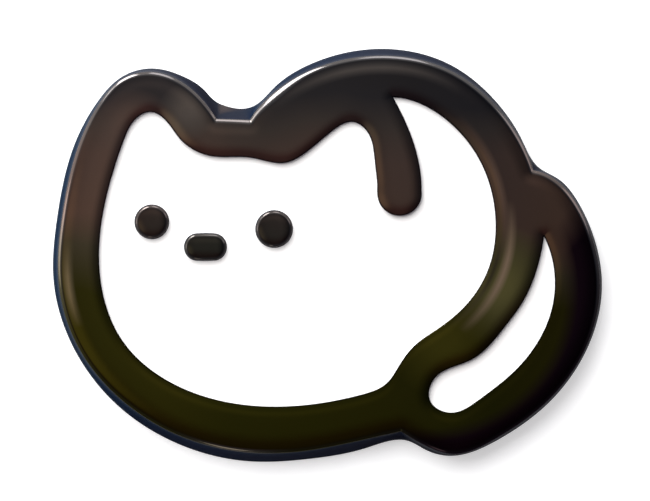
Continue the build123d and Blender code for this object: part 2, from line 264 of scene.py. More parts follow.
class Shell:
    """A mesh under construction, from rings of points, strips between rings and filled faces.

    Its points carry marks for the material: where the rim is painted lighter for wear and painted
    highlight, where the window edges get painted shade, whether they belong to one of the islands,
    which are the eyes and the nose, and how far they are from the rim and from the larger window.
    """

    def __init__(self):
        self.points = []
        self.faces = []
        self.marks = {"worn": [], "tarnished": [], "island": [], "from_rim": [], "from_window": []}

    def ring(self, places, depths, **marks):
        """Adds points at some places and depths, and gives their indices."""
        first = len(self.points)
        depths = np.broadcast_to(depths, len(places))
        self.points += [(x, y, z) for (x, z), y in zip(places, depths)]
        for mark, values in self.marks.items():
            values += list(np.broadcast_to(marks.get(mark, 0.0), len(places)))
        return list(range(first, len(self.points)))

    def strip(self, ring_a, ring_b):
        """Joins two rings of as many points with four-sided faces."""
        for i in range(len(ring_a)):
            j = (i + 1) % len(ring_a)
            self.faces.append((ring_a[i], ring_a[j], ring_b[j], ring_b[i]))

    def strips(self, rings):
        for ring_a, ring_b in zip(rings, rings[1:]):
            self.strip(ring_a, ring_b)

    def fill(self, rings, inner_places, depth_of, marks_of=lambda places: {}):
        """Fills the first ring, leaving the others open, with more points inside it.

        Every new point gets its depth and its marks from its place.
        """
        indices = [i for ring in rings for i in ring]
        flat = [(self.points[i][0], self.points[i][2]) for i in indices]
        edges, first = [], 0
        for ring in rings:
            edges += [(first + i, first + (i + 1) % len(ring)) for i in range(len(ring))]
            first += len(ring)
        added = len(self.points)
        if len(inner_places):
            self.ring(inner_places, depth_of(inner_places), **marks_of(inner_places))
        flat += [tuple(p) for p in inner_places]
        indices += range(added, len(self.points))
        places, _, triangles, sources, _, _ = delaunay_2d_cdt(
            [Vector(p) for p in flat], edges, [], 0, 1e-7, True
        )
        places = np.array([tuple(p) for p in places])
        loops = [np.array(flat[a:b]) for a, b in ring_spans(rings)]
        middles = np.array([places[list(t)].mean(axis=0) for t in triangles])
        keep = inside(middles, loops[0])
        for hole in loops[1:]:
            keep &= ~inside(middles, hole)
        for i, source in enumerate(sources):
            if not source:
                new = places[i:i + 1]
                indices += self.ring(new, depth_of(new), **marks_of(new))
                source.append(len(indices) - 1)
        for triangle, kept in zip(triangles, keep):
            if kept:
                self.faces.append(tuple(indices[sources[i][0]] for i in triangle))

    def object(self, name):
        """The finished mesh as an object of the scene."""
        mesh = bpy.data.meshes.new(name)
        mesh.from_pydata([Vector(p) * MM for p in self.points], [], self.faces)
        made = bpy.data.objects.new(name, mesh)
        bpy.context.scene.collection.objects.link(made)
        for mark, values in self.marks.items():
            mesh.attributes.new(mark, "FLOAT", "POINT").data.foreach_set("value", values)
        tidy_mesh(mesh)
        mesh.polygons.foreach_set("use_smooth", [True] * len(mesh.polygons))
        mesh.set_sharp_from_angle(angle=SHARP_EDGE)
        return made


def tidy_mesh(mesh):
    """Joins points that coincide, drops faces with no area, and turns every face outward."""
    work = bmesh.new()
    work.from_mesh(mesh)
    bmesh.ops.remove_doubles(work, verts=work.verts, dist=2e-4 * MM)
    bmesh.ops.dissolve_degenerate(work, edges=work.edges, dist=1e-5 * MM)
    bmesh.ops.recalc_face_normals(work, faces=work.faces)
    work.to_mesh(mesh)
    work.free()


def ring_spans(rings):
    """Where each ring begins and ends when they're put one after another."""
    ends = np.cumsum([len(ring) for ring in rings])
    return list(zip(np.r_[0, ends[:-1]], ends))


def at_depth(depth):
    """The depths of a flat fill: the same at every place."""
    return lambda places: depth


def inside(points, loop):
    """Which points lie inside a closed loop, by the even-odd rule."""
    ahead = np.roll(loop, -1, axis=0)
    result = np.zeros(len(points), bool)
    for (x1, z1), (x2, z2) in zip(loop, ahead):
        if z1 == z2:
            continue
        crosses = (points[:, 1] < z1) != (points[:, 1] < z2)
        result ^= crosses & (points[:, 0] < (x2 - x1) * (points[:, 1] - z1) / (z2 - z1) + x1)
    return result


def tree_of(points):
    """A search tree over some points."""
    tree = kdtree.KDTree(len(points))
    for i, (x, z) in enumerate(points):
        tree.insert((x, 0.0, z), i)
    tree.balance()
    return tree


class Distance:
    """How far points lie from a set of outlines."""

    def __init__(self, loops):
        self.tree = tree_of(np.vstack([
            even(np.vstack([loop, loop[:1]]), DISTANCE_STEP) for loop in loops
        ]))

    def __call__(self, places):
        return np.array([self.tree.find((x, 0.0, z))[2] for x, z in places])


def grid_inside(outer, holes, margin, step):
    """Points of a triangular grid inside an outline and outside its holes, clear of both."""
    low, high = outer.min(axis=0), outer.max(axis=0)
    rows = []
    for k, z in enumerate(np.arange(low[1], high[1], step * math.sqrt(3) / 2)):
        x = np.arange(low[0] + (k % 2) * step / 2, high[0], step)
        rows.append(np.c_[x, np.full(len(x), z)])
    points = np.vstack(rows)
    points = points[inside(points, outer)]
    for hole in holes:
        points = points[~inside(points, hole)]
    return points[Distance([outer, *holes])(points) > margin]


def offset_points(outlines, widths, measure):
    """Points at some distances from the edges, where nothing else is nearer."""
    found = [NO_POINTS]
    for width in widths:
        for places, ways in outlines:
            points = places + ways * width
            found.append(points[measure(points) > width * 0.97])
    return np.vstack(found)


def dome(distance, shape):
    """How far a face falls away towards an edge: shape is the fall at the edge and its width."""
    fall, width = shape
    return fall * np.clip(1.0 - distance / width, 0.0, 1.0)**2


def round_profile(radius, steps=7):
    """A rounded edge's profile, as pairs of how far in and how far below the face."""
    angles = [math.pi / 2 * k / steps for k in range(steps + 1)]
    return [(radius * (1 - math.cos(a)), radius * (1 - math.sin(a))) for a in angles]


# ---------------------------------------------------------------- outlines of this pin

def refined_outlines(depth, facing):
    """The plate's largest outline at a depth, and the holes in its faces there."""
    rounds, holes = level_outlines("base_plate", depth, facing)
    return refined(rounds[0]), [refined(loop) for loop in holes]


rim, windows = refined_outlines(FACE, -1)
islands = refined_outlines(RECESS_FLOOR, -1)[1]
foot, spotfaces = refined_outlines(0.0, 1)
PLATE_LOW, PLATE_HIGH = (np.array([c.x, c.z]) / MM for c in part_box("base_plate"))


def clamped(places):
    """Keeps an outline within the CAD plate's own width and height."""
    return np.clip(places, PLATE_LOW, PLATE_HIGH)


def islands_in(window):
    return [island for island in islands if inside(island[:1], window)[0]]


# ---------------------------------------------------------------- the struck plate

def rim_size(places):
    """The rounding of the rim at some places along it, as a multiple of the profile."""
    centre, reach, more = WORN_SLOPE
    return 1.0 + more * np.exp(-np.sum((places - centre)**2, axis=1) / reach**2)


def raised_edge(shell, places, ways, profile, fall_at, marks_of, size=1.0, **edge_marks):
    """Rings of a rounded edge on the face, from its foot up to where the face begins."""
    size = np.broadcast_to(size, len(places))
    rings = []
    for inward, below in profile:
        ring_places = places + ways * (inward * size)[:, None]
        marks = {**marks_of(ring_places), **(edge_marks if below else {})}
        rings.append(shell.ring(ring_places, FACE + below * size + fall_at(ring_places), **marks))
    shell.strips(rings)
    return rings


def smoothed(values, reach):
    """A closed run of numbers or points, averaged along itself."""
    for _ in range(2):
        values = sum(np.roll(values, k, axis=0) for k in range(-reach, reach + 1)) / (2 * reach + 1)
    return values


def foot_partners(places):
    """The point of the foot outline under each point of the rim, going round in order."""
    line = even(np.vstack([foot, foot[:1]]), CURVE_STEP)
    tree = tree_of(line)
    nearest = [tree.find((x, 0.0, z))[1] for x, z in places]
    count = len(line)
    steps = (np.diff(np.r_[nearest, nearest[0]]) + count // 2) % count - count // 2
    order = np.maximum.accumulate(nearest[0] + np.r_[0, np.cumsum(steps)[:-1]])
    even_order = np.arange(len(places)) * count / len(places)
    order = smoothed(order - even_order, PARTNER_REACH) + even_order
    return line[np.round(order).astype(int) % count]


def make_plate():
    shell = Shell()
    rim_places, rim_ways = offsets(rim, True)
    window_sides = [offsets(loop, False) for loop in windows]
    to_rim, to_windows, to_window = Distance([rim]), Distance(windows), Distance(windows[:1])

    def fall_at(places):
        return dome(to_rim(places), RIM_DOME) + dome(to_windows(places), WINDOW_DOME)

    def face_depth(places):
        return FACE + fall_at(places)

    def face_marks(places):
        return {"from_rim": to_rim(places), "from_window": to_window(places)}

    # the face's edges, and the face between them
    size = rim_size(rim_places)
    # the rim carries the mark for its lighter tone, partly wear and partly painted highlight
    rim_rings = raised_edge(
        shell, rim_places, rim_ways, RIM_PROFILE, fall_at, face_marks, size, worn=1.0
    )
    window_profile = round_profile(WINDOW_EDGE_RADIUS)
    # the window edges carry the mark for their painted shade
    window_rings = [
        raised_edge(shell, places, ways, window_profile, fall_at, face_marks, tarnished=1.0)
        for places, ways in window_sides
    ]
    measure = Distance([rim, *windows])
    between = offset_points([(rim_places, rim_ways), *window_sides], FACE_ROWS, measure)
    grid = grid_inside(rim, windows, FACE_ROWS[-1] + ROW_TO_GRID, GRID_STEP)
    between = np.vstack([between, grid])
    edge_rings = [rim_rings[-1], *(rings[-1] for rings in window_rings)]
    shell.fill(edge_rings, thinned(between), face_depth, face_marks)

    # the outer wall, which leans out to the foot, and the back with its two spotfaces
    foot_places = clamped(foot_partners(rim))
    wall_top = FACE + RIM_PROFILE[0][1] * rim_size(rim) + fall_at(rim)
    inward = centred_ways(foot_places)
    wall_rings = [shell.ring(rim, wall_top)]
    for share, reach in WALL_RINGS:
        lean = share**WALL_LEAN
        places = smoothed(rim * (1 - lean) + foot_places * lean, reach)
        wall_rings.append(shell.ring(clamped(places), wall_top * (1 - share)))
    for tip_in, tip_up in reversed(round_profile(FOOT_RADIUS, 3)):
        wall_rings.append(shell.ring(foot_places + inward * tip_up, -tip_in))
    shell.strips(wall_rings)
    spot_rings = [shell.ring(loop, 0.0) for loop in spotfaces]
    back_grid = grid_inside(foot, spotfaces, 0.3, BACK_GRID_STEP)
    shell.fill([wall_rings[-1], *spot_rings], back_grid, at_depth(0.0))
    for loop, ring in zip(spotfaces, spot_rings):
        bottom = shell.ring(loop, POST_PAD_BOTTOM)
        shell.strip(ring, bottom)
        shell.fill([bottom], NO_POINTS, at_depth(POST_PAD_BOTTOM))

    # the recesses under the enamel, with the eyes and the nose standing in the larger one
    floor_rings = []
    for (places, _), rings in zip(window_sides, window_rings):
        floor_rings.append(shell.ring(places, RECESS_FLOOR))
        shell.strip(rings[0], floor_rings[-1])
    for loop, ring in zip(windows, floor_rings):
        standing = islands_in(loop)
        base_rings = [shell.ring(island, RECESS_FLOOR) for island in standing]
        shell.fill([ring, *base_rings], NO_POINTS, at_depth(RECESS_FLOOR))
        for island, base in zip(standing, base_rings):
            add_island(shell, island, base)
    return shell.object("struck_plate")


def centred_ways(places):
    """Unit directions to the inside of a closed anticlockwise line, smoothed along it."""
    ahead = np.roll(places, -2, axis=0) - np.roll(places, 2, axis=0)
    ways = np.c_[-ahead[:, 1], ahead[:, 0]]
    return ways / np.maximum(np.linalg.norm(ways, axis=1), 1e-6)[:, None]


def thinned(points):
    """The points less those that crowd another one."""
    kept, cells = [], set()
    for x, z in points:
        cell = (round(x / CROWDED), round(z / CROWDED))
        if cell not in cells:
            cells.add(cell)
            kept.append((x, z))
    return np.array(kept)


def add_island(shell, outline, base):
    """An eye or the nose: a straight wall, a well rounded edge and a slightly domed top."""
    places, ways = offsets(outline, True)
    to_edge = Distance([outline])

    def fall_at(points):
        return dome(to_edge(points), ISLAND_DOME)

    def island_marks(points):
        return {"island": 1.0}

    edge = round_profile(ISLAND_EDGE_RADIUS, 9)
    # the islands' edges get part of the rim's lighter tone of wear and painted highlight
    rings = raised_edge(shell, places, ways, edge, fall_at, island_marks, worn=0.7)
    shell.strip(base, rings[0])
    inner = grid_inside(places + ways * ISLAND_EDGE_RADIUS, [], 0.08, ISLAND_GRID_STEP)
    shell.fill([rings[-1]], inner, lambda points: FACE + fall_at(points), island_marks)


# ---------------------------------------------------------------- the enamel fills

def enamel_wave(places):
    """The slight unevenness that hard enamel keeps after it is baked."""
    x, z = places[:, 0], places[:, 1]
    waves = np.sin(1.3 * x + 0.7 * z) + np.sin(0.8 * z - 1.9 * x + 1.0)
    return ENAMEL_WAVE * (waves + np.sin(2.3 * z + 0.4 * x + 2.0))


def make_enamel(name, outline, node, material):
    """A window's fill, which stands on the recess's floor and leaves the islands free."""
    shell = Shell()
    standing = islands_in(outline)
    edges = [offsets(outline, True)] + [offsets(island, False) for island in standing]
    to_edge = Distance([outline, *standing])

    def depth(places):
        rise = MENISCUS_HEIGHT * np.exp(-to_edge(places) / MENISCUS_WIDTH)
        return ENAMEL_LEVEL - rise + enamel_wave(places)

    tops, bottoms = [], []
    for loop in (outline, *standing):
        bottoms.append(shell.ring(loop, RECESS_FLOOR))
        tops.append(shell.ring(loop, depth(loop)))
        shell.strip(bottoms[-1], tops[-1])
    inner = offset_points(edges, ENAMEL_ROWS, to_edge)
    grid = grid_inside(outline, standing, ENAMEL_ROWS[-1] + ROW_TO_GRID, ENAMEL_GRID_STEP)
    shell.fill(tops, thinned(np.vstack([inner, grid])), depth)
    shell.fill(bottoms, NO_POINTS, at_depth(RECESS_FLOOR))
    made = shell.object(name)
    made.data.materials.append(material)
    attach(made, "pin")
    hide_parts(node)


# ---------------------------------------------------------------- posts and clutches

def make_worn(name, body, material):
    """A post or a clutch's sheet as it is in the CAD, but with its edges worn round."""
    mesh = frame["nodes"][name].data.copy()
    # the CAD mesh is split at its edges, and has normals of its own that keep them sharp
    own_normals = mesh.attributes.get("custom_normal")
    if own_normals:
        mesh.attributes.remove(own_normals)
    work = bmesh.new()
    work.from_mesh(mesh)
    bmesh.ops.remove_doubles(work, verts=work.verts, dist=1e-4 * MM)
    bmesh.ops.dissolve_limit(
        work, angle_limit=FLAT_FACES, use_dissolve_boundaries=False,
        verts=work.verts, edges=work.edges,
    )
    work.to_mesh(mesh)
    work.free()
    mesh.polygons.foreach_set("use_smooth", [True] * len(mesh.polygons))
    mesh.materials.clear()
    mesh.materials.append(material)
    made = bpy.data.objects.new(f"{name}_worn", mesh)
    bpy.context.scene.collection.objects.link(made)
    made.matrix_world = frame["nodes"][name].matrix_world
    edges = made.modifiers.new("worn_edges", "BEVEL")
    edges.width = EDGE_WEAR * MM
    edges.segments = 2
    edges.limit_method = "ANGLE"
    edges.angle_limit = WORN_EDGE
    edges.harden_normals = True
    slivers = made.modifiers.new("no_slivers", "WELD")
    slivers.merge_threshold = SLIVER * MM
    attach(made, body)
    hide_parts(name)


def make_spring(side, material):
    """An open wire ring with rounded ends."""
    # the ring's axis is the post's, and the rest of its shape is read from the CAD spring
    low, high = (np.array(c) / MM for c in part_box(f"post_{side}"))
    middle = (low + high) / 2
    node = frame["nodes"][f"clutch_spring_{side}"]
    points = np.array([node.matrix_world @ corner.co for corner in node.data.vertices]) / MM
    away = points[:, [0, 2]] - middle[[0, 2]]
    reach = np.linalg.norm(away, axis=1)
    radius = (reach.max() + reach.min()) / 2
    wire = np.ptp(points[:, 1]) / 2
    height = points[:, 1].min() + wire
    angles = np.sort(np.arctan2(away[:, 1], away[:, 0]))
    gaps = np.diff(np.r_[angles, angles[0] + 2 * math.pi])
    opening = gaps.argmax()
    start = angles[(opening + 1) % len(angles)]
    sweep = 2 * math.pi - gaps[opening]

    # stations along the wire: how far round the ring, and the wire's radius there
    quarter = np.linspace(0, math.pi / 2, WIRE_TIP_STEPS)
    tip = [(wire / radius * (1 - math.cos(a)), wire * math.sin(a)) for a in quarter]
    stations = [(start + turn, size) for turn, size in tip]
    inner = np.linspace(tip[-1][0], sweep - tip[-1][0], WIRE_STATIONS)[1:-1]
    stations += [(start + turn, wire) for turn in inner]
    stations += [(start + sweep - turn, size) for turn, size in reversed(tip)]
    shell = Shell()
    round_wire = np.linspace(0.0, 2 * math.pi, WIRE_SIDES, endpoint=False)
    rings = []
    for angle, size in stations:
        out = radius + size * np.cos(round_wire)
        places = middle[[0, 2]] + out[:, None] * np.array([math.cos(angle), math.sin(angle)])
        rings.append(shell.ring(places, height + size * np.sin(round_wire)))
    shell.strips(rings)
    made = shell.object(f"ring_spring_{side}")
    made.data.materials.append(material)
    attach(made, f"clutch_{side}")
    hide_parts(node.name)
    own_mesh(made)


# ---------------------------------------------------------------- materials

# Painted reflection and shade: the plating's tones by place on the face in millimetres, brown
# above, olive below and darker towards the right. By height and by width, each is a pair of the
# share of the range and the colour, and the second multiplies the first.
TONE_HEIGHTS = (-11.0, 11.0)
PAINTED_REFLECTION_BY_HEIGHT = [
    (0.0, (0.054, 0.047, 0.005)),
    (0.38, (0.060, 0.053, 0.009)),
    (0.50, (0.120, 0.095, 0.055)),
    (0.58, (0.215, 0.125, 0.092)),
    (0.74, (0.205, 0.125, 0.098)),
    (0.82, (0.140, 0.104, 0.088)),
    (0.89, (0.075, 0.064, 0.066)),
    (1.0, (0.062, 0.052, 0.052)),
]
TONE_WIDTHS = (-15.0, 15.0)
PAINTED_SHADE_BY_WIDTH = [
    (0.0, (1.0, 1.0, 1.0)),
    (0.20, (1.0, 1.0, 1.0)),
    (0.32, (0.72, 0.76, 0.78)),
    (0.62, (0.62, 0.66, 0.70)),
    (0.80, (0.42, 0.46, 0.52)),
    (0.92, (0.50, 0.50, 0.50)),
    (1.0, (0.30, 0.26, 0.34)),
]

# Painted sheens: lighter patches where the tone differs from that drift, each a centre, a radius
# and a colour.
PAINTED_SHEEN_PATCHES = [
    ((9.2, -1.6), 3.4, (0.17, 0.15, 0.055)),
    ((6.3, -4.6), 3.2, (0.078, 0.068, 0.010)),
    ((-7.7, 7.8), 1.6, (0.19, 0.155, 0.135)),
    ((-10.5, 6.9), 2.2, (0.23, 0.145, 0.115)),
]

# Painted highlights and reflections, with one darker painted shade line: soft lines of another
# tone along an edge: the edge, how far in and how wide they are, where they're centred, how far
# they reach, and their colour.
PAINTED_HIGHLIGHT_STREAKS = [
    ("from_window", 0.86, 0.34, (9.7, -1.0), 4.0, (0.42, 0.29, 0.20)),
    ("from_window", 0.30, 0.26, (9.2, -0.6), 4.4, (0.075, 0.062, 0.035)),
    ("from_window", 0.50, 0.30, (8.3, 3.6), 4.2, (0.24, 0.150, 0.112)),
    ("from_rim", 0.66, 0.42, (2.0, 10.3), 5.5, (0.125, 0.110, 0.105)),
    ("from_rim", 0.55, 0.34, (-14.0, -1.6), 2.4, (0.26, 0.205, 0.13)),
]

# Painted shade: the tail's outer side is painted darkest, beyond a distance from a centre, and
# beyond a slanted line, given by what it takes of x and z and by where it begins and ends.
TAIL_CENTRE = (5.5, -2.0)
TAIL_REACH = (7.4, 8.2)
TAIL_SLANT = (0.75, -0.66)
TAIL_LINE = (8.2, 9.8)
TAIL_PAINTED_SHADE = (0.012, 0.005, 0.010)

# The islands' painted shade, darker than the same metal round them, and how fully they have it.
# The painted shade that the window edges are multiplied by.
ISLAND_PAINTED_SHADE = (0.030, 0.032, 0.034)
ISLAND_SHADE_SHARE = 0.72
WINDOW_EDGE_PAINTED_SHADE = (0.20, 0.18, 0.24)

# The rim's lighter tone, partly wear and partly painted highlight, and its share. It is lighter
# above, where the light falls, and less below the first height, except at a spot.
WEAR_AND_HIGHLIGHT_TONE = (0.22, 0.21, 0.205)
WEAR_AND_HIGHLIGHT_SHARE = 0.45
WEAR_AND_HIGHLIGHT_HEIGHTS = (-5.0, 0.5)
WEAR_AND_HIGHLIGHT_LEAST = 0.12
WEAR_AND_HIGHLIGHT_SPOT = ((-5.2, -10.6), 3.6)

# The side wall's painted reflection by where it faces, from left to right, its painted shade at the
# tail, and the back's tone.
WALL_PAINTED_REFLECTIONS = [
    (0.0, (0.006, 0.016, 0.034)),
    (0.25, (0.012, 0.018, 0.032)),
    (0.5, (0.020, 0.023, 0.033)),
    (1.0, (0.014, 0.014, 0.018)),
]
WALL_TAIL_PAINTED_SHADE = (0.010, 0.010, 0.013)
WALL_METALLIC = 0.16
BACK_TONES = [(0.3, (0.11, 0.105, 0.105)), (0.7, (0.17, 0.16, 0.155))]
EDGE_TINT = (0.36, 0.38, 0.44, 1.0)
BUMP_DEPTH = 0.02


def new_material(name):
    """A new material, its node tree and its shader."""
    material = bpy.data.materials.new(name)
    material.use_nodes = True
    tree = material.node_tree
    return material, tree, tree.nodes["Principled BSDF"]


def noise(tree, scale, detail=4.0, roughness=0.5, stretch=(1.0, 1.0, 1.0)):
    """Noise in the object's own space, at a scale in cycles per metre."""
    place = tree.nodes.new("ShaderNodeTexCoord")
    mapping = tree.nodes.new("ShaderNodeMapping")
    mapping.inputs["Scale"].default_value = stretch
    tree.links.new(place.outputs["Object"], mapping.inputs["Vector"])
    made = tree.nodes.new("ShaderNodeTexNoise")
    made.inputs["Scale"].default_value = scale
    made.inputs["Detail"].default_value = detail
    made.inputs["Roughness"].default_value = roughness
    tree.links.new(mapping.outputs["Vector"], made.inputs["Vector"])
    return made.outputs["Fac"]


def ramp(tree, source, stops):
    """A colour for each value from 0 to 1, through stops of a value and a colour."""
    made = tree.nodes.new("ShaderNodeValToRGB")
    elements = made.color_ramp.elements
    while len(elements) < len(stops):
        elements.new(0.5)
    for element, (place, colour) in zip(elements, stops):
        element.position = place
        element.color = (*colour, 1.0)
    tree.links.new(source, made.inputs["Fac"])
    return made.outputs["Color"]


def span(tree, source, low, high, to_low=0.0, to_high=1.0):
    """A value that goes from to_low to to_high as the source goes from low to high."""
    made = tree.nodes.new("ShaderNodeMapRange")
    keys = ("From Min", "From Max", "To Min", "To Max")
    for key, value in zip(keys, (low, high, to_low, to_high)):
        made.inputs[key].default_value = value
    tree.links.new(source, made.inputs["Value"])
    return made.outputs["Result"]


def bump(tree, shader, height, strength, depth=BUMP_DEPTH):
    """Shades the surface as if it rose by the height, at most by the depth in millimetres."""
    made = tree.nodes.new("ShaderNodeBump")
    made.inputs["Strength"].default_value = strength
    made.inputs["Distance"].default_value = depth * MM
    tree.links.new(height, made.inputs["Height"])
    tree.links.new(made.outputs["Normal"], shader.inputs["Normal"])


def maths(tree, operation, first, second):
    """An operation on two values; each is a number or another node's output."""
    made = tree.nodes.new("ShaderNodeMath")
    made.operation = operation
    for socket, value in zip(made.inputs, (first, second)):
        if isinstance(value, (int, float)):
            socket.default_value = value
        else:
            tree.links.new(value, socket)
    return made.outputs[0]


def times(tree, first, second):
    return maths(tree, "MULTIPLY", first, second)


def mix(tree, factor, first, second, blend="MIX"):
    """Two colours mixed; each is a colour or another node's output, and so is the factor."""
    made = tree.nodes.new("ShaderNodeMixRGB")
    made.blend_type = blend
    for socket, value in zip(made.inputs, (factor, first, second)):
        if isinstance(value, (int, float)):
            socket.default_value = value
        elif isinstance(value, tuple):
            socket.default_value = (*value, 1.0)
        else:
            tree.links.new(value, socket)
    return made.outputs["Color"]


def measured(tree, operation, source, vector):
    """A value measured between a node's vector and a fixed one."""
    made = tree.nodes.new("ShaderNodeVectorMath")
    made.operation = operation
    tree.links.new(source, made.inputs[0])
    made.inputs[1].default_value = vector
    return made.outputs["Value"]


def split(tree, source):
    """A vector's X, Y and Z."""
    made = tree.nodes.new("ShaderNodeSeparateXYZ")
    tree.links.new(source, made.inputs["Vector"])
    return made.outputs


def distance_from(tree, place, centre):
    """How far, in metres, the surface is from a point of the face given in millimetres."""
    point = (centre[0] * MM, FACE * MM, centre[1] * MM)
    return measured(tree, "DISTANCE", place.outputs["Object"], point)


def patch(tree, place, centre, radius):
    """One at a centre on the face, in millimetres, fading to nothing at a radius."""
    return span(tree, distance_from(tree, place, centre), radius * MM, radius * MM * 0.2)


def marked(tree, mark):
    """A mark that a Shell gave to its points."""
    made = tree.nodes.new("ShaderNodeAttribute")
    made.attribute_name = mark
    return made.outputs["Fac"]


def tail_shade_mask(tree, place, parts):
    """Where the painted shade falls: one on the tail's outer side, and nothing elsewhere."""
    away = distance_from(tree, place, TAIL_CENTRE)
    beyond_centre = span(tree, away, TAIL_REACH[0] * MM, TAIL_REACH[1] * MM)
    slanted = maths(
        tree, "ADD", times(tree, parts["X"], TAIL_SLANT[0]), times(tree, parts["Z"], TAIL_SLANT[1])
    )
    beyond_line = span(tree, slanted, TAIL_LINE[0] * MM, TAIL_LINE[1] * MM)
    return times(tree, beyond_centre, beyond_line)


def face_tone(tree, place, parts, height, tail):
    """The face's tone, with its painted reflection drift, sheens and highlights, and painted shade
    on edges and islands.
    """
    low, high = (h * MM for h in TONE_HEIGHTS)
    # painted reflection by height, brown above and olive below, times painted shade by width
    tone = ramp(tree, span(tree, height, low, high), PAINTED_REFLECTION_BY_HEIGHT)
    left, right = (x * MM for x in TONE_WIDTHS)
    across = ramp(tree, span(tree, parts["X"], left, right), PAINTED_SHADE_BY_WIDTH)
    tone = mix(tree, 1.0, tone, across, "MULTIPLY")
    # painted sheens on the ridges
    for centre, radius, colour in PAINTED_SHEEN_PATCHES:
        tone = mix(tree, patch(tree, place, centre, radius), tone, colour)
    # painted shade on the tail's outer side
    tone = mix(tree, tail, tone, TAIL_PAINTED_SHADE)
    # painted highlights, reflections and shade in streaks along the edges
    for mark, middle, width, centre, radius, colour in PAINTED_HIGHLIGHT_STREAKS:
        off = maths(tree, "ABSOLUTE", maths(tree, "SUBTRACT", marked(tree, mark), middle), 0.0)
        streak = times(tree, span(tree, off, width, 0.0), patch(tree, place, centre, radius))
        tone = mix(tree, streak, tone, colour)
    # painted shade on the islands, then on the window edges
    tone = mix(tree, times(tree, marked(tree, "island"), ISLAND_SHADE_SHARE), tone, ISLAND_PAINTED_SHADE)
    tarnished = mix(tree, 1.0, tone, WINDOW_EDGE_PAINTED_SHADE, "MULTIPLY")
    tone = mix(tree, marked(tree, "tarnished"), tone, tarnished)
    # the worn mark is partly wear and partly painted highlight, kept to where the light falls
    low, high = (h * MM for h in WEAR_AND_HIGHLIGHT_HEIGHTS)
    rubbed = maths(
        tree, "MAXIMUM", span(tree, height, low, high, WEAR_AND_HIGHLIGHT_LEAST, 1.0),
        patch(tree, place, *WEAR_AND_HIGHLIGHT_SPOT),
    )
    worn = times(tree, times(tree, marked(tree, "worn"), rubbed), WEAR_AND_HIGHLIGHT_SHARE)
    return mix(tree, worn, tone, WEAR_AND_HIGHLIGHT_TONE)


def plating_material():
    """Black nickel with painted reflection and shade: brown at the upper left, olive below, near
    black at the tail.

    The side wall, the face and the back are told apart by which way the surface faces.
    """
    material, tree, shader = new_material("black_nickel")
    place = tree.nodes.new("ShaderNodeTexCoord")
    parts = split(tree, place.outputs["Object"])
    facing = split(tree, place.outputs["Normal"])
    wander = times(tree, maths(tree, "SUBTRACT", noise(tree, 110.0, 2.0), 0.5), 0.006)
    height = maths(tree, "ADD", parts["Z"], wander)
    # where the tail's painted shade falls
    tail = tail_shade_mask(tree, place, parts)
    tone = face_tone(tree, place, parts, height, tail)

    # the side wall's painted reflection, navy where it faces left, with painted shade at the tail
    wall = span(tree, facing["Y"], -0.62, -0.5)
    wall_reflection = ramp(tree, span(tree, facing["X"], -1.0, 1.0), WALL_PAINTED_REFLECTIONS)
    tone = mix(tree, wall, tone, mix(tree, tail, wall_reflection, WALL_TAIL_PAINTED_SHADE))
    back = span(tree, facing["Y"], 0.5, 0.8)
    grain = noise(tree, 3200.0, 3.0)
    tone = mix(tree, back, tone, ramp(tree, grain, BACK_TONES))
    tree.links.new(tone, shader.inputs["Base Color"])

    side = times(tree, wall, span(tree, facing["Y"], 0.5, 0.3))
    tree.links.new(span(tree, side, 0.0, 1.0, 1.0, WALL_METALLIC), shader.inputs["Metallic"])
    shader.inputs["Specular IOR Level"].default_value = 0.0
    shader.inputs["Specular Tint"].default_value = EDGE_TINT
    polish = span(tree, noise(tree, 260.0, 3.0), 0.3, 0.75, 0.08, 0.16)
    roughness = maths(tree, "ADD", polish, times(tree, back, 0.16))
    tree.links.new(roughness, shader.inputs["Roughness"])
    ripple = times(tree, noise(tree, 1400.0, 5.0), 0.08)
    rough_back = times(tree, times(tree, grain, back), 0.9)
    bump(tree, shader, maths(tree, "ADD", ripple, rough_back), 1.0)
    return material


def enamel_material():
    material, tree, shader = new_material("white_enamel")
    clouds = noise(tree, 160.0, 3.0)
    tint = ramp(tree, clouds, [(0.3, (0.925, 0.915, 0.90)), (0.7, (0.945, 0.935, 0.925))])
    tree.links.new(tint, shader.inputs["Base Color"])
    shader.inputs["Roughness"].default_value = 0.16
    shader.inputs["Coat Weight"].default_value = 0.5
    shader.inputs["Coat Roughness"].default_value = 0.06
    bump(tree, shader, noise(tree, 700.0, 3.0), 0.05)
    return material


def nickel_material(name, colour, roughness, scratch):
    """Bright plated sheet or wire, with fine rubbed scratches and smears."""
    material, tree, shader = new_material(name)
    clouds = noise(tree, 300.0, 3.0)
    dull = tuple(0.82 * c for c in colour)
    tree.links.new(ramp(tree, clouds, [(0.3, dull), (0.65, colour)]), shader.inputs["Base Color"])
    shader.inputs["Metallic"].default_value = 1.0
    lines = noise(tree, 1500.0, 4.0, 0.6, (1.0, 1.0, 9.0))
    rubbed = span(tree, lines, 0.25, 0.75, roughness * 0.7, roughness * 1.5)
    tree.links.new(rubbed, shader.inputs["Roughness"])
    bump(tree, shader, lines, scratch, BUMP_DEPTH / 2)
    return material


# ---------------------------------------------------------------- the pin

plate = make_plate()
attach(plate, "pin")
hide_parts("base_plate")
plate.data.materials.append(plating_material())

white_enamel = enamel_material()
make_enamel("body_fill", windows[0], "body_enamel", white_enamel)
make_enamel("tail_fill", windows[1], "tail_enamel", white_enamel)

hardware = {
    "post": nickel_material("post_nickel", (0.66, 0.65, 0.62), 0.22, 0.10),
    "clutch": nickel_material("clutch_nickel", (0.74, 0.72, 0.68), 0.16, 0.08),
}
for body, names in frame["record"]["behaviour"]["bodies"].items():
    for name in names:
        kind = name.split("_")[0]
        if kind in hardware and "spring" not in name:
            make_worn(name, body, hardware[kind])

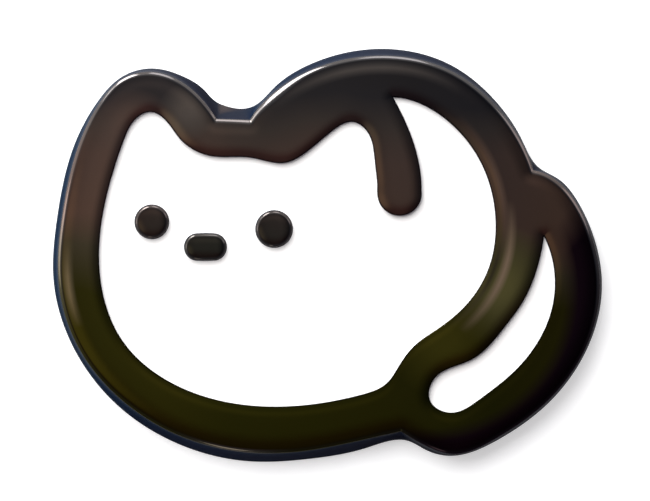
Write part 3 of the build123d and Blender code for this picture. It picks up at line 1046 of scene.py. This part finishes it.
spring_steel = nickel_material("spring_steel", (0.60, 0.60, 0.61), 0.20, 0.12)
for side in ("left", "right"):
    make_spring(side, spring_steel)


# ---------------------------------------------------------------- light, floor and camera

# The world's light. The sky's is by how far a direction is from straight down, tilted a little. In
# front of the pin are dark cards, whose light is the product of one by height and one by width.
SKY_UP = (-0.45, 0.05, 0.89)
SKY = [
    (0.0, (0.12, 0.11, 0.13)),
    (0.40, (0.18, 0.18, 0.21)),
    (0.58, (0.62, 0.61, 0.62)),
    (0.8, (0.98, 0.97, 0.97)),
    (1.0, (1.15, 1.12, 1.10)),
]
CARDS_BY_HEIGHT = [
    (0.0, (0.12, 0.09, 0.10)),
    (0.30, (0.22, 0.15, 0.16)),
    (0.45, (0.35, 0.35, 0.35)),
    (0.57, (0.36, 0.36, 0.36)),
    (0.64, (0.52, 0.50, 0.48)),
    (0.68, (0.52, 0.50, 0.48)),
    (0.76, (0.36, 0.37, 0.38)),
    (1.0, (0.45, 0.46, 0.48)),
]
CARDS_BY_WIDTH = [
    (0.0, (0.60, 0.58, 0.60)),
    (0.30, (0.74, 0.74, 0.76)),
    (0.45, (0.95, 0.95, 0.95)),
    (0.56, (1.05, 1.05, 1.05)),
    (0.70, (0.50, 0.52, 0.56)),
    (0.85, (0.22, 0.25, 0.32)),
    (1.0, (0.14, 0.16, 0.22)),
]
GLOW_DIRECTION = (-0.27, -0.95, -0.10)
GLOW = (0.62, 0.56, 0.44)

# The lamps: a name, a direction from the pin, a distance and a diameter in millimetres, how bright
# the disc is, and its colour.
LAMPS = [
    ("ear_light", (-0.68, -0.407, 0.61), 130, 30, 3.6, (1.0, 1.0, 1.0)),
    ("rim_light", (-0.45, -0.407, 0.79), 130, 52, 11.0, (1.0, 1.0, 1.0)),
    ("top_light", (0.10, -0.40, 0.91), 130, 50, 3.0, (0.95, 0.95, 1.0)),
    ("left_light", (-0.91, -0.40, 0.05), 120, 40, 1.6, (1.0, 0.92, 0.90)),
    ("right_light", (0.80, -0.40, 0.45), 130, 50, 1.2, (1.0, 0.92, 0.95)),
    ("front_light", (-0.34, -0.72, 0.55), 200, 210, 4.8, (1.0, 1.0, 1.0)),
    ("low_light", (-0.20, -0.40, -0.89), 130, 26, 1.8, (1.0, 0.86, 0.74)),
    ("back_light", (0.55, 0.62, 0.75), 160, 90, 4.0, (1.0, 1.0, 1.0)),
]

# The paper: its size, how far it reaches under the pin, how far it's in front of the back face,
# and the light that it gives off so that it stays white.
PAPER_SIZE = 1200.0
PAPER_OVERLAP = 0.12
PAPER_GAP = 0.02
PAPER_GLOW = 0.45

CAMERA_DISTANCE = 420.0
SENSOR_WIDTH = 36.0
VIEW_WIDTH = 35.39
VIEW_CENTRE = (-0.136, 0.245)


def lamp(name, direction, distance, size, radiance, colour):
    """A soft round lamp that looks at the pin."""
    light = bpy.data.lights.new(name, "AREA")
    light.shape = "DISK"
    light.size = size * MM
    light.energy = radiance * math.pi * math.pi / 4 * (size * MM)**2
    light.color = colour
    made = bpy.data.objects.new(name, light)
    bpy.context.scene.collection.objects.link(made)
    way = Vector(direction).normalized()
    made.location = way * distance * MM
    made.rotation_mode = "QUATERNION"
    made.rotation_quaternion = way.to_track_quat("Z", "Y")
    return made


def make_world():
    """White to the camera. For light it's pale above and at the left, with dark cards in front."""
    world = bpy.data.worlds.new("studio")
    bpy.context.scene.world = world
    world.use_nodes = True
    tree = world.node_tree
    direction = tree.nodes.new("ShaderNodeTexCoord").outputs["Generated"]
    parts = split(tree, direction)

    def along(way):
        return measured(tree, "DOT_PRODUCT", direction, Vector(way).normalized())

    sky = ramp(tree, span(tree, along(SKY_UP), -1.0, 1.0), SKY)
    by_height = ramp(tree, span(tree, parts["Z"], -0.5, 0.5), CARDS_BY_HEIGHT)
    by_width = ramp(tree, span(tree, parts["X"], -0.5, 0.5), CARDS_BY_WIDTH)
    cards = mix(tree, 1.0, by_height, by_width, "MULTIPLY")
    cards = mix(tree, span(tree, along(GLOW_DIRECTION), 0.984, 0.997), cards, GLOW)
    light = mix(tree, span(tree, parts["Y"], -0.84, -0.6), cards, sky)
    path = tree.nodes.new("ShaderNodeLightPath")
    shown = mix(tree, path.outputs["Is Camera Ray"], light, (1.0, 1.0, 1.0))
    tree.links.new(shown, tree.nodes["Background"].inputs["Color"])


def paper_material():
    """White paper that is see-through from behind."""
    material, tree, shader = new_material("paper")
    shader.inputs["Roughness"].default_value = 0.7
    fibres = noise(tree, 900.0, 3.0)
    tint = ramp(tree, fibres, [(0.3, (0.78, 0.78, 0.785)), (0.7, (0.82, 0.82, 0.82))])
    tree.links.new(tint, shader.inputs["Base Color"])
    shader.inputs["Emission Color"].default_value = (1.0, 1.0, 1.0, 1.0)
    shader.inputs["Emission Strength"].default_value = PAPER_GLOW
    clear = tree.nodes.new("ShaderNodeBsdfTransparent")
    sides = tree.nodes.new("ShaderNodeNewGeometry")
    chosen = tree.nodes.new("ShaderNodeMixShader")
    tree.links.new(sides.outputs["Backfacing"], chosen.inputs[0])
    tree.links.new(shader.outputs[0], chosen.inputs[1])
    tree.links.new(clear.outputs[0], chosen.inputs[2])
    tree.links.new(chosen.outputs[0], tree.nodes["Material Output"].inputs["Surface"])
    return material


def make_paper():
    """The sheet that the pin's back lies on, with an opening under the pin for the posts."""
    shell = Shell()
    half = PAPER_SIZE / 2
    corners = np.array([(-half, -half), (half, -half), (half, half), (-half, half)])
    opening = foot + centred_ways(foot) * PAPER_OVERLAP
    rings = [shell.ring(corners, PAPER_GAP), shell.ring(opening, PAPER_GAP)]
    shell.fill(rings, NO_POINTS, at_depth(PAPER_GAP))
    made = shell.object("paper")
    if made.data.polygons[0].normal.y > 0:
        made.data.flip_normals()
    made.data.materials.append(paper_material())


def make_camera():
    """A long lens that looks straight at the face."""
    data = bpy.data.cameras.new("camera")
    data.sensor_width = SENSOR_WIDTH
    data.lens = SENSOR_WIDTH * CAMERA_DISTANCE / VIEW_WIDTH
    data.clip_start = 0.01
    data.clip_end = 10.0
    camera = bpy.data.objects.new("camera", data)
    bpy.context.scene.collection.objects.link(camera)
    camera.location = Vector((VIEW_CENTRE[0], FACE - CAMERA_DISTANCE, VIEW_CENTRE[1])) * MM
    camera.rotation_euler = (math.pi / 2, 0.0, 0.0)
    bpy.context.scene.camera = camera


make_world()
make_paper()
lamps = {name: lamp(name, *values) for name, *values in LAMPS}
# the plating shows no reflection of the broad lamp
lamps["front_light"].visible_glossy = False
make_camera()
bpy.context.scene.view_settings.view_transform = "Standard"
